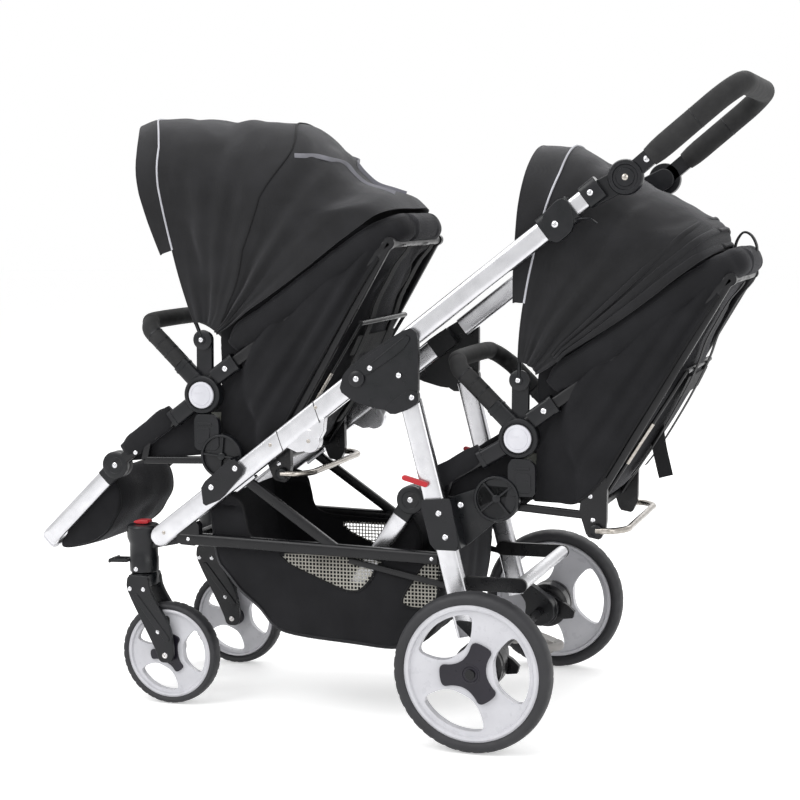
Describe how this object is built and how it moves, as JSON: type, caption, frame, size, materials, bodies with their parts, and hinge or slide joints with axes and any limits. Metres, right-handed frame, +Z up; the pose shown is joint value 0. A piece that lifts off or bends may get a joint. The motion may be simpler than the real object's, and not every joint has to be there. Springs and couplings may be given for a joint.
{
  "type": "double stroller",
  "caption": "Tandem double stroller with in-line reclined seats, hooded canopies, swivel front wheels, large rear wheels and an under-seat basket.",
  "frame": {"origin": "on the floor under the middle of the stroller's box", "axes": "+X towards the handle at the rear, +Y to the right of the driver, +Z up"},
  "size_m": [1.288, 0.6, 1.067],
  "materials": {
    "satin_aluminium": "satin anodised tube",
    "steel_wire": "bright wire",
    "black_paint": "black powder coat",
    "black_plastic": "fine grained black",
    "black_foam": "soft foam",
    "grey_plastic": "moulded grey",
    "white_plastic": "moulded white",
    "red_plastic": "moulded red",
    "rim_plastic": "silver grey moulding",
    "tyre_rubber": "moulded rubber",
    "black_fabric": "woven polyester"
  },
  "bodies": {
    "chassis": {"main_tube_left": "satin_aluminium", "main_tube_right": "satin_aluminium", "fold_bracket_left": "black_plastic", "fold_bracket_right": "black_plastic", "rear_leg_left": "satin_aluminium", "rear_leg_right": "satin_aluminium", "side_rail_left": "black_paint", "side_rail_right": "black_paint", "front_cross_tube": "black_paint", "rear_cross_tube": "satin_aluminium", "rear_axle": "black_paint", "caster_housing_left": "black_plastic", "caster_housing_right": "black_plastic", "basket": "black_fabric", "front_adaptor_left": "black_plastic", "front_adaptor_right": "black_plastic", "rear_adaptor_left": "black_plastic", "rear_adaptor_right": "black_plastic"},
    "upper_frame": {"upper_tube_left": "satin_aluminium", "upper_tube_right": "satin_aluminium"},
    "handle_stems": {"handle_stem_left": "satin_aluminium", "handle_stem_right": "satin_aluminium"},
    "handle": {"handle_bar": "black_plastic"},
    "brake": {"brake_pedal": "grey_plastic"},
    "rear_wheel_left": {"rear_tyre_left": "tyre_rubber", "rear_rim_left": "rim_plastic"},
    "caster_left": {"caster_fork_left": "black_plastic"},
    "front_wheel_left": {"front_tyre_left": "tyre_rubber", "front_rim_left": "rim_plastic"},
    "release_tab_left": {"release_tab_left": "red_plastic"},
    "swivel_lock_left": {"swivel_lock_left": "black_plastic"},
    "fold_lever_left": {"fold_lever_left": "red_plastic"},
    "rear_wheel_right": {"rear_tyre_right": "tyre_rubber", "rear_rim_right": "rim_plastic"},
    "caster_right": {"caster_fork_right": "black_plastic"},
    "front_wheel_right": {"front_tyre_right": "tyre_rubber", "front_rim_right": "rim_plastic"},
    "release_tab_right": {"release_tab_right": "red_plastic"},
    "swivel_lock_right": {"swivel_lock_right": "black_plastic"},
    "fold_lever_right": {"fold_lever_right": "red_plastic"},
    "front_seat": {"front_seat_frame": "black_paint", "front_seat_cushion": "black_fabric"},
    "front_canopy_set": {"front_canopy_bow": "black_plastic", "front_canopy": "black_fabric"},
    "front_bumper": {"front_bumper_bar": "black_foam"},
    "front_footrest_set": {"front_footrest": "satin_aluminium", "front_calf_pad": "black_fabric"},
    "front_hoop": {"front_recline_hoop": "steel_wire"},
    "front_hub_button_left": {"front_hub_button_left": "white_plastic"},
    "front_hub_button_right": {"front_hub_button_right": "white_plastic"},
    "rear_seat": {"rear_seat_frame": "black_paint", "rear_seat_cushion": "black_fabric"},
    "rear_canopy_set": {"rear_canopy_bow": "black_plastic", "rear_canopy": "black_fabric"},
    "rear_bumper": {"rear_bumper_bar": "black_foam"},
    "rear_footrest_set": {"rear_footrest": "satin_aluminium", "rear_calf_pad": "black_fabric"},
    "rear_hoop": {"rear_recline_hoop": "steel_wire"},
    "rear_hub_button_left": {"rear_hub_button_left": "white_plastic"},
    "rear_hub_button_right": {"rear_hub_button_right": "white_plastic"}
  },
  "joints": [
    {"name": "chassis_fold", "type": "hinge", "parent": "chassis", "child": "upper_frame", "pos_m": [0.07993, 0, 0.65037], "axis": [0, 1, 0], "range_deg": [0, 60]},
    {"name": "handle_slide", "type": "slide", "parent": "upper_frame", "child": "handle_stems", "axis": [0.796, 0, 0.6053], "range_m": [0, 0.08]},
    {"name": "handle_tilt", "type": "hinge", "parent": "handle_stems", "child": "handle", "pos_m": [0.44184, 0, 0.907], "axis": [0, 1, 0], "range_deg": [-50, 50]},
    {"name": "brake_pedal_press", "type": "hinge", "parent": "chassis", "child": "brake", "pos_m": [0.21685, 0, 0.13], "axis": [0, 1, 0], "range_deg": [0, 18]},
    {"name": "rear_wheel_left_spin", "type": "hinge", "parent": "chassis", "child": "rear_wheel_left", "pos_m": [0.21685, -0.279, 0.13], "axis": [0, 1, 0], "continuous": true},
    {"name": "caster_left_swivel", "type": "hinge", "parent": "chassis", "child": "caster_left", "pos_m": [-0.42316, -0.145, 0.232], "axis": [0, 0, 1], "continuous": true},
    {"name": "front_wheel_left_spin", "type": "hinge", "parent": "caster_left", "child": "front_wheel_left", "pos_m": [-0.37456, -0.145, 0.0902], "axis": [0, 1, 0], "continuous": true},
    {"name": "release_tab_left_lift", "type": "hinge", "parent": "chassis", "child": "release_tab_left", "pos_m": [-0.41315, -0.145, 0.3225], "axis": [0, 1, 0], "range_deg": [0, 30]},
    {"name": "swivel_lock_left_flip", "type": "hinge", "parent": "chassis", "child": "swivel_lock_left", "pos_m": [-0.45295, -0.145, 0.252], "axis": [0, 1, 0], "range_deg": [0, 30]},
    {"name": "fold_lever_left_pull", "type": "hinge", "parent": "chassis", "child": "fold_lever_left", "pos_m": [0.11027, -0.18015, 0.412], "axis": [0, 1, 0], "range_deg": [0, 25]},
    {"name": "rear_wheel_right_spin", "type": "hinge", "parent": "chassis", "child": "rear_wheel_right", "pos_m": [0.21685, 0.279, 0.13], "axis": [0, 1, 0], "continuous": true},
    {"name": "caster_right_swivel", "type": "hinge", "parent": "chassis", "child": "caster_right", "pos_m": [-0.42316, 0.145, 0.232], "axis": [0, 0, 1], "continuous": true},
    {"name": "front_wheel_right_spin", "type": "hinge", "parent": "caster_right", "child": "front_wheel_right", "pos_m": [-0.37456, 0.145, 0.0902], "axis": [0, 1, 0], "continuous": true},
    {"name": "release_tab_right_lift", "type": "hinge", "parent": "chassis", "child": "release_tab_right", "pos_m": [-0.41315, 0.145, 0.3225], "axis": [0, 1, 0], "range_deg": [0, 30]},
    {"name": "swivel_lock_right_flip", "type": "hinge", "parent": "chassis", "child": "swivel_lock_right", "pos_m": [-0.45295, 0.145, 0.252], "axis": [0, 1, 0], "range_deg": [0, 30]},
    {"name": "fold_lever_right_pull", "type": "hinge", "parent": "chassis", "child": "fold_lever_right", "pos_m": [0.11027, 0.18015, 0.412], "axis": [0, 1, 0], "range_deg": [0, 25]},
    {"name": "front_seat_tilt", "type": "hinge", "parent": "chassis", "child": "front_seat", "pos_m": [-0.30216, 0, 0.548], "axis": [0, 1, 0], "range_deg": [0, 10]},
    {"name": "front_canopy_fold", "type": "hinge", "parent": "front_seat", "child": "front_canopy_set", "pos_m": [-0.30016, 0, 0.643], "axis": [0, 1, 0], "range_deg": [0, 60], "deforming": ["front_canopy"]},
    {"name": "front_bumper_pull", "type": "slide", "parent": "front_seat", "child": "front_bumper", "axis": [-0.7071, 0, 0.7071], "range_m": [0, 0.04]},
    {"name": "front_footrest_tilt", "type": "hinge", "parent": "front_seat", "child": "front_footrest_set", "pos_m": [-0.47862, 0, 0.41859], "axis": [0, 1, 0], "range_deg": [-24, 34]},
    {"name": "front_hoop_lift", "type": "hinge", "parent": "front_seat", "child": "front_hoop", "pos_m": [-0.15951, 0, 0.41528], "axis": [0, 1, 0], "range_deg": [-15, 0]},
    {"name": "front_hub_button_left_press", "type": "slide", "parent": "front_seat", "child": "front_hub_button_left", "axis": [0, 1, 0], "range_m": [0, 0.003], "stiffness_N_per_m": 600},
    {"name": "front_hub_button_right_press", "type": "slide", "parent": "front_seat", "child": "front_hub_button_right", "axis": [0, -1, 0], "range_m": [0, 0.003], "stiffness_N_per_m": 600},
    {"name": "rear_seat_tilt", "type": "hinge", "parent": "chassis", "child": "rear_seat", "pos_m": [0.25884, 0, 0.488], "axis": [0, 1, 0], "range_deg": [0, 10]},
    {"name": "rear_canopy_fold", "type": "hinge", "parent": "rear_seat", "child": "rear_canopy_set", "pos_m": [0.26084, 0, 0.583], "axis": [0, 1, 0], "range_deg": [-28, 32], "deforming": ["rear_canopy"]},
    {"name": "rear_bumper_pull", "type": "slide", "parent": "rear_seat", "child": "rear_bumper", "axis": [-0.7071, 0, 0.7071], "range_m": [0, 0.04]},
    {"name": "rear_footrest_tilt", "type": "hinge", "parent": "rear_seat", "child": "rear_footrest_set", "pos_m": [0.06982, 0, 0.37774], "axis": [0, 1, 0], "range_deg": [-12, 24]},
    {"name": "rear_hoop_lift", "type": "hinge", "parent": "rear_seat", "child": "rear_hoop", "pos_m": [0.38683, 0, 0.3411], "axis": [0, 1, 0], "range_deg": [-15, 0]},
    {"name": "rear_hub_button_left_press", "type": "slide", "parent": "rear_seat", "child": "rear_hub_button_left", "axis": [0, 1, 0], "range_m": [0, 0.003], "stiffness_N_per_m": 600},
    {"name": "rear_hub_button_right_press", "type": "slide", "parent": "rear_seat", "child": "rear_hub_button_right", "axis": [0, -1, 0], "range_m": [0, 0.003], "stiffness_N_per_m": 600}
  ]
}
